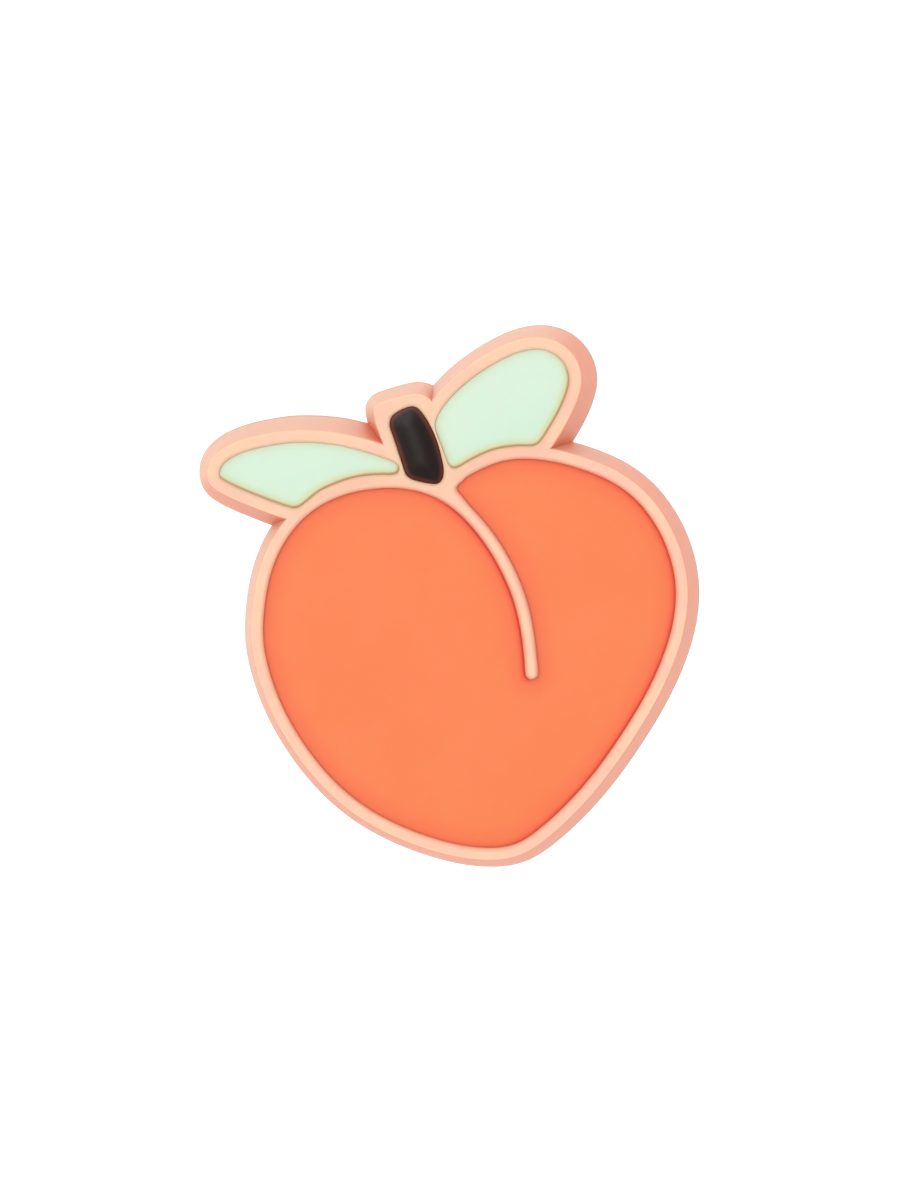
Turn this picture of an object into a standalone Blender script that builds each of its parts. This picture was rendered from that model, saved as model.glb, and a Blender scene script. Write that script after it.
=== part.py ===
"""Peach-shaped clog charm: a flat moulded soft-PVC plate with a snap button behind it.

The charm lies on its button with its picture face up.  +Y runs from the tip of the peach to
its stem, and the origin is the centre of the button's foot.  The plate is a raised rim round
four pockets, and a separate piece of coloured PVC fills each pocket.
"""

import math

import bmesh
import bpy
from mathutils import Vector

MM = 0.001

# Button, from its foot upwards (millimetres).
DISC_RADIUS = 6.3
DISC_THICKNESS = 1.7
DISC_EDGE = 0.5
FOOT_ROUNDING = 1.15
RING_RADIUS = 3.4
RING_HALF_WIDTH = 0.25
RING_DEPTH = 0.3
NECK_RADIUS = 3.7
NECK_FILLET = 0.4
GROOVE_HEIGHT = 4.4
FLANGE_RADIUS = 5.2
FLANGE_THICKNESS = 0.7
FLANGE_CHAMFER = 0.2
PLATE_UNDER_FLANGE = 0.75

# Plate.
PLATE_THICKNESS = 3.3
PLATE_BACK = DISC_THICKNESS + GROOVE_HEIGHT
PLATE_FACE = PLATE_BACK + PLATE_THICKNESS
FLANGE_BASE = PLATE_BACK + PLATE_UNDER_FLANGE
FLANGE_TOP = FLANGE_BASE + FLANGE_THICKNESS
RIM_WIDTH = 0.65
WALL_ROUNDING = 0.15
POCKET_DEPTH = 1.2
POCKET_FLOOR = PLATE_FACE - POCKET_DEPTH
POCKET_LIP = 0.06
CREASE_WIDTH = 0.68
CUTTER_OVERRUN = 0.3

# Clearance between neighbouring pieces.  The rim between the stem and the right leaf is so thin
# that the fills can only stand this far from it.
FILL_GAP = 0.15
FLOOR_GAP = 0.2
SOCKET_GAP = 0.2
RIM_EDGE = FILL_GAP + RIM_WIDTH

# How far each colour lies below the rim, and how softly its edge turns down.
PEACH_SINK = 0.3
LEAF_SINK = 0.25
STEM_SINK = 0.2
FILL_EDGE = 0.2
STEM_EDGE = 0.35

# Fineness of the meshes.
ARC_STEPS = 6
SHOULDER_STEPS = 2
EDGE_STEPS = 3
TURNING_STEPS = 48
WELD_DISTANCE = 1e-7
SHARP_ANGLE = math.radians(35)

# Outlines of the coloured fills: knots (x, y, heading in degrees), anticlockwise, joined by arcs.
PEACH_ROUND = [
    (-2.6, 6.45, 171),
    (-6.9, 5.75, 212),
    (-9.55, 2.3, 250),
    (-10.2, -0.55, 269),
    (-9.45, -4.9, 290),
    (-7.3, -8.75, 310),
    (-3.9, -11.5, 330),
    (-1.15, -12.65, 347),
    (0.3, -12.75, 9),
    (1.65, -12.25, 27),
    (6.4, -8.75, 44),
    (10.15, -4.15, 61),
    (11.15, -0.65, 90),
    (10.25, 2.85, 119),
    (8.2, 4.95, 147),
    (4.4, 6.5, 173),
]
RIGHT_LOBE_CORNER = [(1.95, 6.15, 198), (1.5, 5.9, 205), (1.35, 5.7, 300)]
LEFT_LOBE_SHOULDER = [(0.0, 5.35, 140)]
CREASE_LINE = [(1.55, 4.3, 302), (3.1, 0.15, 280), (3.0, -4.4, 262)]

LEFT_LEAF = [
    (-10.6, 9.0, 270),
    (-10.55, 8.9, 315),
    (-8.95, 7.7, 326),
    (-7.4, 6.75, 332),
    (-6.95, 6.75, 24),
    (-5.65, 7.35, 14),
    (-3.6, 7.6, 358),
    (-1.85, 7.35, 350),
    (-1.7, 7.6, 142),
    (-4.15, 9.0, 155),
    (-6.15, 9.65, 167),
    (-8.3, 9.85, 180),
    (-9.9, 9.65, 198),
]
RIGHT_LEAF = [
    (0.9, 9.2, 260),
    (1.0, 8.2, 277),
    (1.15, 7.2, 279),
    (1.4, 7.0, 8),
    (2.05, 7.2, 17),
    (3.4, 7.5, 6),
    (4.7, 7.45, 352),
    (5.45, 7.3, 352),
    (5.9, 7.45, 40),
    (6.45, 8.0, 46),
    (7.45, 9.2, 56),
    (7.95, 10.45, 92),
    (7.6, 11.35, 132),
    (6.4, 11.9, 176),
    (4.85, 11.7, 196),
    (2.0, 10.4, 215),
    (1.2, 9.7, 230),
]
STEM = [
    (-1.4, 9.55, 278),
    (-1.15, 7.25, 276),
    (-0.8, 6.8, 332),
    (0.15, 6.4, 345),
    (0.5, 6.65, 68),
    (0.6, 7.75, 91),
    (0.1, 9.95, 116),
    (-0.25, 10.3, 172),
    (-1.05, 10.15, 197),
]

# The rim round the stem has squarer shoulders than the stem itself, so it has its own line.
STEM_RIM = [
    (-2.25, 10.4, 267),
    (-2.12, 9.1, 277),
    (-1.85, 7.4, 279),
    (-1.2, 6.2, 315),
    (0.3, 5.8, 0),
    (1.15, 6.8, 88),
    (1.1, 9.6, 98),
    (0.85, 10.55, 122),
    (0.15, 11.07, 167),
    (-0.9, 11.08, 183),
    (-1.75, 11.0, 186),
    (-2.2, 10.75, 245),
]

# Blocks of the plate: rim line, distance from it to the rim's edge, spread of the wall down to
# the back, and how far the foot leans to one side.
PEACH_BLOCK = (PEACH_ROUND, RIM_EDGE, 0.55, (0.0, 0.0))
LEFT_LEAF_BLOCK = (LEFT_LEAF, RIM_EDGE, 0.75, (0.1, 0.0))
RIGHT_LEAF_BLOCK = (RIGHT_LEAF, RIM_EDGE, 0.65, (0.1, -0.03))
STEM_BLOCK = (STEM_RIM, 0.0, 0.6, (0.0, 0.0))

# Colours are linear RGB.
RIM_COLOUR = (0.93, 0.56, 0.40)
PEACH_COLOUR = (0.97, 0.23, 0.10)
LEAF_COLOUR = (0.72, 0.88, 0.70)
STEM_COLOUR = (0.035, 0.022, 0.018)
BUTTON_COLOUR = (0.90, 0.90, 0.88)


def clear_scene():
    """Empties the scene so that the charm is alone in it."""
    for old in list(bpy.data.objects):
        bpy.data.objects.remove(old)


def make_collection(name):
    """Adds a collection to the scene."""
    collection = bpy.data.collections.new(name)
    bpy.context.scene.collection.children.link(collection)
    return collection


def make_material(name, colour, roughness):
    """A plain Principled material of one colour."""
    material = bpy.data.materials.new(name)
    material.use_nodes = True
    shader = material.node_tree.nodes["Principled BSDF"]
    shader.inputs["Base Color"].default_value = (*colour, 1.0)
    shader.inputs["Roughness"].default_value = roughness
    shader.inputs["Metallic"].default_value = 0.0
    return material


def moved_out(knot, distance):
    """The knot moved square to its heading, outwards from an anticlockwise outline."""
    x, y, heading = knot
    angle = math.radians(heading)
    return (x + distance * math.sin(angle), y - distance * math.cos(angle), heading)


def crease_slot():
    """Knots down the right of the crease, round its end and up its left."""
    half = CREASE_WIDTH / 2 + FILL_GAP
    down = [moved_out(knot, -half) for knot in CREASE_LINE]
    up = [moved_out((x, y, heading - 180), -half) for x, y, heading in reversed(CREASE_LINE)]
    x, y, heading = CREASE_LINE[-1]
    angle = math.radians(heading)
    end = (x + half * math.cos(angle), y + half * math.sin(angle), heading - 90)
    return down + [end] + up


def peach_outline():
    """Outline of the peach's fill, with the slot that the crease ridge stands in."""
    return PEACH_ROUND + RIGHT_LOBE_CORNER + crease_slot() + LEFT_LOBE_SHOULDER


def arc_handle(start, end):
    """Length of the Bezier handles that make the stretch between two knots an arc."""
    chord = math.dist(start[:2], end[:2])
    turn = (end[2] - start[2] + 180) % 360 - 180
    return chord / (3 * math.cos(math.radians(turn) / 4) ** 2)


def curve_object(name, curve):
    """Links a curve in the scene so that it can be evaluated."""
    holder = bpy.data.objects.new(name, curve)
    bpy.context.scene.collection.objects.link(holder)
    return holder


def profile_curve(profile):
    """Open section line through (outset, height) points, as a bevel object for an outline."""
    curve = bpy.data.curves.new("section", "CURVE")
    curve.dimensions = "2D"
    spline = curve.splines.new("POLY")
    spline.points.add(len(profile) - 1)
    for point, (outset, height) in zip(spline.points, profile):
        point.co = (-outset * MM, height * MM, 0.0, 1.0)
    return curve_object("section", curve)


def outline_curve(knots):
    """Closed flat curve through the knots, with arcs between them."""
    curve = bpy.data.curves.new("outline", "CURVE")
    curve.dimensions = "2D"
    curve.fill_mode = "BOTH"
    curve.resolution_u = ARC_STEPS
    spline = curve.splines.new("BEZIER")
    spline.bezier_points.add(len(knots) - 1)
    spline.use_cyclic_u = True
    for index, point in enumerate(spline.bezier_points):
        knot = knots[index]
        before = knots[index - 1]
        after = knots[(index + 1) % len(knots)]
        place = Vector((knot[0], knot[1], 0.0))
        angle = math.radians(knot[2])
        heading = Vector((math.cos(angle), math.sin(angle), 0.0))
        point.handle_left_type = "FREE"
        point.handle_right_type = "FREE"
        point.co = place * MM
        point.handle_left = (place - heading * arc_handle(before, knot)) * MM
        point.handle_right = (place + heading * arc_handle(knot, after)) * MM
    return curve_object("outline", curve)


def swept_solid(name, knots, profile, collection):
    """Solid whose wall carries the profile round the outline, closed flat above and below."""
    outline = outline_curve(knots)
    section = profile_curve(profile)
    outline.data.bevel_mode = "OBJECT"
    outline.data.bevel_object = section
    graph = bpy.context.evaluated_depsgraph_get()
    mesh = bpy.data.meshes.new_from_object(outline.evaluated_get(graph))
    edit = bmesh.new()
    edit.from_mesh(mesh)
    bmesh.ops.remove_doubles(edit, verts=edit.verts, dist=WELD_DISTANCE)
    bmesh.ops.recalc_face_normals(edit, faces=edit.faces)
    edit.to_mesh(mesh)
    edit.free()
    mesh.shade_smooth()
    mesh.set_sharp_from_angle(angle=SHARP_ANGLE)
    solid = bpy.data.objects.new(name, mesh)
    solid.matrix_world = outline.matrix_world
    collection.objects.link(solid)
    bpy.data.objects.remove(outline)
    bpy.data.objects.remove(section)
    return solid


def rounded(corners, steps):
    """Line through (across, height, radius) corners, with an arc wherever there is a radius."""
    line = [corners[0][:2]]
    for before, corner, after in zip(corners, corners[1:], corners[2:]):
        if not corner[2]:
            line.append(corner[:2])
            continue
        here = Vector(corner[:2])
        back = (Vector(before[:2]) - here).normalized()
        onward = (Vector(after[:2]) - here).normalized()
        half = back.angle(onward) / 2
        turn = math.pi - 2 * half
        centre = here + (back + onward).normalized() * corner[2] / math.sin(half)
        start = here + back * corner[2] / math.tan(half) - centre
        end = here + onward * corner[2] / math.tan(half) - centre
        for step in range(steps + 1):
            passed = turn * step / steps
            spoke = start * math.sin(turn - passed) + end * math.sin(passed)
            line.append(tuple(centre + spoke / math.sin(turn)))
    line.append(corners[-1][:2])
    return line


def plate_blank(name, block, collection):
    """Block of the plate round one fill, with the rim's round edge and the drafted wall."""
    knots, rim_edge, spread, lean = block
    foot_edge = rim_edge + spread
    profile = rounded(
        [
            (rim_edge - 2 * WALL_ROUNDING, PLATE_FACE, 0.0),
            (rim_edge, PLATE_FACE, WALL_ROUNDING),
            (foot_edge, PLATE_BACK + WALL_ROUNDING, 0.0),
            (foot_edge - WALL_ROUNDING, PLATE_BACK, 0.0),
        ],
        SHOULDER_STEPS,
    )
    blank = swept_solid(name, knots, profile[1:], collection)
    middle = (PLATE_FACE + PLATE_BACK) / 2 * MM
    for vertex in blank.data.vertices:
        if vertex.co.z < middle:
            vertex.co.x += lean[0] * MM
            vertex.co.y += lean[1] * MM
    return blank


def pocket_cutter(name, knots, collection):
    """Block that cuts the pocket for one fill and softens the rim's inner edge."""
    profile = [
        (FILL_GAP + POCKET_LIP, PLATE_FACE + CUTTER_OVERRUN),
        (FILL_GAP + POCKET_LIP, PLATE_FACE),
        (FILL_GAP, PLATE_FACE - POCKET_LIP),
        (FILL_GAP, POCKET_FLOOR),
    ]
    return swept_solid(name, knots, profile, collection)


def make_fill(name, knots, sink, edge, collection):
    """Coloured PVC that stands in its pocket, with its top edge turned down softly."""
    top = PLATE_FACE - sink
    profile = rounded(
        [(-edge, top, 0.0), (0.0, top, edge), (0.0, POCKET_FLOOR + FLOOR_GAP, 0.0)], EDGE_STEPS
    )
    return swept_solid(name, knots, profile[1:], collection)


def turned_solid(name, profile, collection):
    """Round solid turned about Z from (radius, height) points that start and end on the axis."""
    mesh = bpy.data.meshes.new(name)
    edit = bmesh.new()
    points = [edit.verts.new((radius * MM, 0.0, height * MM)) for radius, height in profile]
    for upper, lower in zip(points, points[1:]):
        edit.edges.new((upper, lower))
    edit.to_mesh(mesh)
    edit.free()
    solid = bpy.data.objects.new(name, mesh)
    collection.objects.link(solid)
    screw = solid.modifiers.new("turn", "SCREW")
    screw.axis = "Z"
    screw.steps = TURNING_STEPS
    screw.render_steps = TURNING_STEPS
    screw.use_merge_vertices = True
    screw.merge_threshold = WELD_DISTANCE
    screw.use_smooth_shade = True
    return solid


def socket_cutter(collection):
    """Room in the plate's back for the button's flange and the top of its neck."""
    top = FLANGE_TOP + SOCKET_GAP
    ledge = FLANGE_BASE - SOCKET_GAP
    mouth = PLATE_BACK - CUTTER_OVERRUN
    profile = [
        (0.0, top),
        (FLANGE_RADIUS + SOCKET_GAP, top),
        (FLANGE_RADIUS + SOCKET_GAP, ledge),
        (NECK_RADIUS + SOCKET_GAP, ledge),
        (NECK_RADIUS + SOCKET_GAP, mouth),
        (0.0, mouth),
    ]
    return turned_solid("socket_cutter", profile, collection)


def make_button(collection):
    """Snap button: flange held in the plate, neck for the hole, and disc behind it."""
    profile = rounded(
        [
            (0.0, FLANGE_TOP, 0.0),
            (FLANGE_RADIUS, FLANGE_TOP, FLANGE_CHAMFER),
            (FLANGE_RADIUS, FLANGE_BASE, 0.0),
            (NECK_RADIUS, FLANGE_BASE, 0.0),
            (NECK_RADIUS, DISC_THICKNESS, NECK_FILLET),
            (DISC_RADIUS, DISC_THICKNESS, DISC_EDGE),
            (DISC_RADIUS, 0.0, FOOT_ROUNDING),
            (RING_RADIUS + RING_HALF_WIDTH, 0.0, 0.0),
            (RING_RADIUS, RING_DEPTH, 0.0),
            (RING_RADIUS - RING_HALF_WIDTH, 0.0, 0.0),
            (0.0, 0.0, 0.0),
        ],
        EDGE_STEPS,
    )
    return turned_solid("snap_button", profile, collection)


def add_boolean(target, operation, tool):
    """Joins a tool to the target or cuts it away."""
    change = target.modifiers.new(tool.name, "BOOLEAN")
    change.operation = operation
    change.solver = "MANIFOLD"
    change.object = tool


def make_plate(collection, tools):
    """Rim, drafted wall, crease ridge and back of the charm as one moulding."""
    plate = plate_blank("rim_plate", PEACH_BLOCK, collection)
    joined = [
        plate_blank("left_leaf_blank", LEFT_LEAF_BLOCK, tools),
        plate_blank("right_leaf_blank", RIGHT_LEAF_BLOCK, tools),
        plate_blank("stem_blank", STEM_BLOCK, tools),
    ]
    cut = [
        pocket_cutter("peach_pocket", peach_outline(), tools),
        pocket_cutter("left_leaf_pocket", LEFT_LEAF, tools),
        pocket_cutter("right_leaf_pocket", RIGHT_LEAF, tools),
        pocket_cutter("stem_pocket", STEM, tools),
        socket_cutter(tools),
    ]
    for blank in joined:
        add_boolean(plate, "UNION", blank)
    for cutter in cut:
        add_boolean(plate, "DIFFERENCE", cutter)
    for tool in joined + cut:
        tool.hide_render = True
        tool.display_type = "WIRE"
    return plate


def build_charm():
    """Models every piece of the charm and gives it its material."""
    clear_scene()
    charm = make_collection("peach_clog_charm")
    tools = make_collection("cutters")
    pieces = [
        (make_plate(charm, tools), "pink_pvc", RIM_COLOUR, 0.45),
        (
            make_fill("peach_fill", peach_outline(), PEACH_SINK, FILL_EDGE, charm),
            "orange_pvc",
            PEACH_COLOUR,
            0.5,
        ),
        (
            make_fill("left_leaf_fill", LEFT_LEAF, LEAF_SINK, FILL_EDGE, charm),
            "left_mint_pvc",
            LEAF_COLOUR,
            0.5,
        ),
        (
            make_fill("right_leaf_fill", RIGHT_LEAF, LEAF_SINK, FILL_EDGE, charm),
            "right_mint_pvc",
            LEAF_COLOUR,
            0.5,
        ),
        (make_fill("stem_fill", STEM, STEM_SINK, STEM_EDGE, charm), "black_pvc", STEM_COLOUR, 0.3),
        (make_button(charm), "button_plastic", BUTTON_COLOUR, 0.4),
    ]
    for piece, name, colour, roughness in pieces:
        piece.data.materials.append(make_material(name, colour, roughness))


build_charm()
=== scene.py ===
"""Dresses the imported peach-shaped clog charm.

The charm is a flat moulding of soft PVC with four coloured pours in its face and a snap button
behind it.  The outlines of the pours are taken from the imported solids, and every other shape is
swept, cut or raised from them.  Lengths in the classes are millimetres, and meshes are metres.
"""

import logging
import math
from collections.abc import Callable, Iterable, Sequence
from dataclasses import dataclass
from enum import Enum

import bmesh
import bpy
from mathutils import Matrix, Vector, geometry, kdtree, noise
from mathutils.bvhtree import BVHTree


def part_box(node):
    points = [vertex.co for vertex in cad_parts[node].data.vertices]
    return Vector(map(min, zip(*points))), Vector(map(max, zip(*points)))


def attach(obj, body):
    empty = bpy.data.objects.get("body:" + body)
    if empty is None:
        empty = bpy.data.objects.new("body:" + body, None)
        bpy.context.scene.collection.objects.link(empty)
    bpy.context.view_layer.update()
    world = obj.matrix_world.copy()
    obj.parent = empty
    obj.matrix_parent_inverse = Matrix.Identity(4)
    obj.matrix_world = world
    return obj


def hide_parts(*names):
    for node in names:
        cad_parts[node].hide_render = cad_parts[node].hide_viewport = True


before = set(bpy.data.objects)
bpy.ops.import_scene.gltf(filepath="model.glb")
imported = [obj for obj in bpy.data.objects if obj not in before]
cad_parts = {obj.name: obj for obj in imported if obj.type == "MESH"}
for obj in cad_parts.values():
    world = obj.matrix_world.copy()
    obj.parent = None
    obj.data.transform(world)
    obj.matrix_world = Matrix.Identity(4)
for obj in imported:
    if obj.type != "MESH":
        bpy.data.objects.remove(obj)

MM = 0.001
# Vertices of a swept or turned solid nearer than this are one, in metres.
WELD = 1e-7
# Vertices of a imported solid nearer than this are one, in metres.
CLOSE = 5e-6
# A face counts as level when its unit normal is at least this far upright.
LEVEL = 0.9999
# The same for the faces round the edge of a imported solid's underside.
NEARLY_LEVEL = 0.99
# How far from a flat a vertex or face may lie and still belong to it, in millimetres.
SKIN = 0.001
# Longest stretch of an outline in millimetres, and its largest turn at a point in degrees.
LONGEST = 0.18
SHARPEST = 8.0
BODY = "root"

# Red, green and blue.
Colour = tuple[float, float, float]
# A direction in space.
Way = tuple[float, float, float]
# A corner of a section: across, height and radius.
Corner = tuple[float, float, float]
# A knot of an outline: its place, and its heading in degrees.
Knot = tuple[float, float, float]
# Two numbers that belong together: a place in plan or in a section, or the ends of a range.
Point = tuple[float, float]

UP: Way = (0.0, 0.0, 1.0)
DOWN: Way = (0.0, 0.0, -1.0)
WHITE = (1.0, 1.0, 1.0, 1.0)

log = logging.getLogger("clog_charm")


# ---------------------------------------------------------------- shader maths


class Flow:
    """A shader socket that takes part in Python expressions."""

    def __init__(self, sheet: "Sheet", socket: bpy.types.NodeSocket) -> None:
        """Wraps one output socket of the sheet."""
        self.sheet = sheet
        self.socket = socket

    def maths(self, operation: str, *terms: "Flow | float") -> "Flow":
        """One Math node over the given terms."""
        return self.sheet.node("ShaderNodeMath", {"operation": operation}, dict(enumerate(terms)))

    def __add__(self, other: "Flow | float") -> "Flow":
        """The sum."""
        return self.maths("ADD", self, other)

    def __rsub__(self, other: float) -> "Flow":
        """The difference from a number."""
        return self.maths("SUBTRACT", other, self)

    def __mul__(self, other: "Flow | float") -> "Flow":
        """The product."""
        return self.maths("MULTIPLY", self, other)

    __radd__ = __add__
    __rmul__ = __mul__

    def ramp(self, start: float, end: float) -> "Flow":
        """A smooth rise from 0 to 1.

        Args:
            start: The value at which it leaves 0.
            end: The value at which it reaches 1.

        Returns:
            The rise.
        """
        return self.sheet.node(
            "ShaderNodeMapRange",
            {"interpolation_type": "SMOOTHSTEP"},
            {"Value": self, "From Min": start, "From Max": end},
        )


class Sheet:
    """The node tree of one new material."""

    def __init__(self, name: str) -> None:
        """Starts a material with an empty tree and an output.

        Args:
            name: The material's name.
        """
        self.material = bpy.data.materials.new(name)
        self.material.use_nodes = True
        self.tree = self.material.node_tree
        self.tree.nodes.clear()
        self.output = self.tree.nodes.new("ShaderNodeOutputMaterial")

    def node(self, kind: str, settings: dict, inputs: dict, output: int | str = 0) -> Flow:
        """Adds a node of any kind.

        Args:
            kind: The node's type.
            settings: Its properties, set before its sockets.
            inputs: A value or a Flow for each socket name or number.
            output: Which of its outputs is wanted.

        Returns:
            That output, ready for an expression.
        """
        node = self.tree.nodes.new(kind)
        for key, value in settings.items():
            setattr(node, key, value)
        for key, value in inputs.items():
            if isinstance(value, Flow):
                self.tree.links.new(value.socket, node.inputs[key])
            else:
                node.inputs[key].default_value = value
        return Flow(self, node.outputs[output])

    def place(self) -> Flow:
        """Object coordinates in millimetres."""
        here = self.node("ShaderNodeTexCoord", {}, {}, "Object")
        return self.node(
            "ShaderNodeVectorMath", {"operation": "SCALE"}, {0: here, "Scale": 1 / MM}
        )

    def clouds(self, size: float, detail: float) -> Flow:
        """Noise whose lumps are about the given size in millimetres."""
        inputs = {"Vector": self.place(), "Scale": 1 / size, "Detail": detail, "Roughness": 0.5}
        return self.node("ShaderNodeTexNoise", {}, inputs, "Fac")

    def reading(self, attribute: str) -> Flow:
        """A number stored on the piece's own vertices."""
        return self.node("ShaderNodeAttribute", {"attribute_name": attribute}, {}, "Fac")

    def facing(self, way: Way) -> Flow:
        """How far the surface faces a direction.

        Args:
            way: The direction, of length one.

        Returns:
            From -1, away from it, to 1, straight at it.
        """
        normal = self.node("ShaderNodeTexCoord", {}, {}, "Normal")
        settings = {"operation": "DOT_PRODUCT"}
        return self.node("ShaderNodeVectorMath", settings, {0: normal, 1: way}, "Value")

    def mixed(self, share: "Flow | float", first: "Flow | Colour", second: "Flow | Colour") -> Flow:
        """Colour that goes from one to another.

        Args:
            share: 0 for the first colour, 1 for the second.
            first: A colour or a Flow of colour.
            second: The same.

        Returns:
            The mixed colour.
        """
        first, second = (c if isinstance(c, Flow) else (*c, 1.0) for c in (first, second))
        return self.node(
            "ShaderNodeMix", {"data_type": "RGBA"}, {0: share, 6: first, 7: second}, 2
        )

    def relief(self, height: Flow, depth: float, under: Flow | None = None) -> Flow:
        """Fine relief in the surface.

        Args:
            height: From 0 to 1.
            depth: How deep that is, in millimetres.
            under: Coarser relief that this one lies on.

        Returns:
            The bumped normal.
        """
        inputs = {"Height": height, "Distance": depth * MM, "Strength": 1.0}
        if under is not None:
            inputs["Normal"] = under
        return self.node("ShaderNodeBump", {}, inputs)

    def finish(self, inputs: dict) -> bpy.types.Material:
        """Adds the surface shader.

        Args:
            inputs: A value or a Flow for each of its sockets.

        Returns:
            The finished material.
        """
        surface = self.node("ShaderNodeBsdfPrincipled", {}, inputs)
        self.tree.links.new(surface.socket, self.output.inputs["Surface"])
        return self.material


# -------------------------------------------------------------------- finishes


@dataclass(frozen=True)
class Softness:
    """How deep light goes into a soft PVC, the same all over a piece."""

    weight: float
    scale: float = 0.5
    radius: Colour = (1.0, 0.4, 0.25)

    def sockets(self) -> dict:
        """Its constant sockets."""
        return {
            "Subsurface Weight": self.weight,
            "Subsurface Scale": self.scale * MM,
            "Subsurface Radius": self.radius,
        }


@dataclass(frozen=True)
class MouldedPvc:
    """Pale pink PVC of the plate: lightest on its face, with painted shade on its walls, at their
    foot and in its hollows, and a lip at the pours tinted partly by their colour and partly by
    painted shade.

    Each range gives where something starts to show and where it shows fully.
    """

    warm: Colour = (0.80, 0.535, 0.375)
    cool: Colour = (0.80, 0.50, 0.375)
    drift_size: float = 2.6
    drift_range: Point = (0.4, 0.62)
    # Painted light and shade: the wall colour is a darker, redder copy of the face, and the next
    # colour a lighter copy for the walls that face the light, towards the upper left.
    wall: Colour = (0.74, 0.27, 0.166)
    wall_start: Point = (0.2, 0.5)
    lit_wall: Colour = (0.74, 0.40, 0.275)
    light_way: Way = (-0.5, 0.86, 0.0)
    lit_range: Point = (0.0, 0.8)
    # Painted shade: a darker, greyer band along the foot of the wall.
    foot: Colour = (0.46, 0.29, 0.235)
    foot_shade_band: Point = (0.15, 0.6)
    # Painted shade: deep red-orange in the hollows where the walls close in, for shadow and
    # reddened bounced light, weaker on the lit side.
    hollow_shade: Colour = (0.76, 0.165, 0.085)
    hollow_shade_range: Point = (0.1, 0.6)
    hollow_shade_fade: float = 0.6
    # The lip by each pour: colour bled from the pour, plus painted shade that the seam's painted
    # shade makes deeper on the shaded side. The faint shares are what shows on the lit side.
    by_orange: Colour = (0.82, 0.25, 0.14)
    by_mint: Colour = (0.72, 0.42, 0.27)
    bleed_and_shade_width: Point = (-0.05, 0.28)
    faint_by_mint: float = 0.15
    faint_by_orange: float = 0.55
    flat_range: Point = (0.55, 0.98)
    back_range: Point = (0.6, 0.95)
    roughness: float = 0.46
    softness: Softness = Softness(weight=0.8, scale=0.8)

    def material(self) -> bpy.types.Material:
        """Makes the material.

        Returns:
            It, with the tinted and shaded lip by each pour, the walls in painted light and shade,
            the painted shade at their foot and in the hollows, and the back.
        """
        sheet = Sheet("pink_pvc")
        drift = sheet.clouds(self.drift_size, 2).ramp(*self.drift_range)
        face = sheet.mixed(drift, self.warm, self.cool)
        # Colour bled from the pours plus painted shade, deeper where the seam is painted in shade.
        bleed_and_shade = 1 - sheet.reading("from_pour").ramp(*self.bleed_and_shade_width)
        by_orange = sheet.reading("beside_orange")
        faint = self.faint_by_mint + (self.faint_by_orange - self.faint_by_mint) * by_orange
        bleed_and_shade = bleed_and_shade * (faint + (1 - faint) * sheet.reading("painted_seam_shade"))
        flat = sheet.facing(UP).ramp(*self.flat_range)
        outside = (1 - flat) * sheet.reading("from_pour").ramp(*self.wall_start)
        # Painted light and shade on the walls: lighter where they face the light, darker elsewhere.
        lit_side = sheet.facing(self.light_way).ramp(*self.lit_range)
        walls_in_light_and_shade = sheet.mixed(lit_side, self.wall, self.lit_wall)
        # Painted shade along the foot of the wall.
        low = 1 - sheet.reading("above_back").ramp(*self.foot_shade_band)
        bleed_and_shade_tint = sheet.mixed(by_orange, self.by_mint, self.by_orange)
        lip = sheet.mixed(bleed_and_shade, face, bleed_and_shade_tint)
        walls = sheet.mixed(outside, lip, sheet.mixed(low, walls_in_light_and_shade, self.foot))
        open_air = sheet.mixed(flat, walls, lip)
        # Painted shade in the hollows, from how closed in each vertex is.
        hollow_shade_share = sheet.reading("occlusion").ramp(*self.hollow_shade_range)
        hollow_shade_share = hollow_shade_share * outside * (1 - self.hollow_shade_fade * lit_side)
        back = sheet.facing(DOWN).ramp(*self.back_range)
        seen_above = sheet.mixed(hollow_shade_share, open_air, self.hollow_shade)
        return sheet.finish(
            {
                "Base Color": sheet.mixed(back, seen_above, face),
                "Roughness": self.roughness + 0.10 * sheet.clouds(0.6, 2),
                "Normal": sheet.relief(sheet.clouds(0.11, 2), 0.003),
                "Specular IOR Level": 0.4,
                **self.softness.sockets(),
            }
        )


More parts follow.
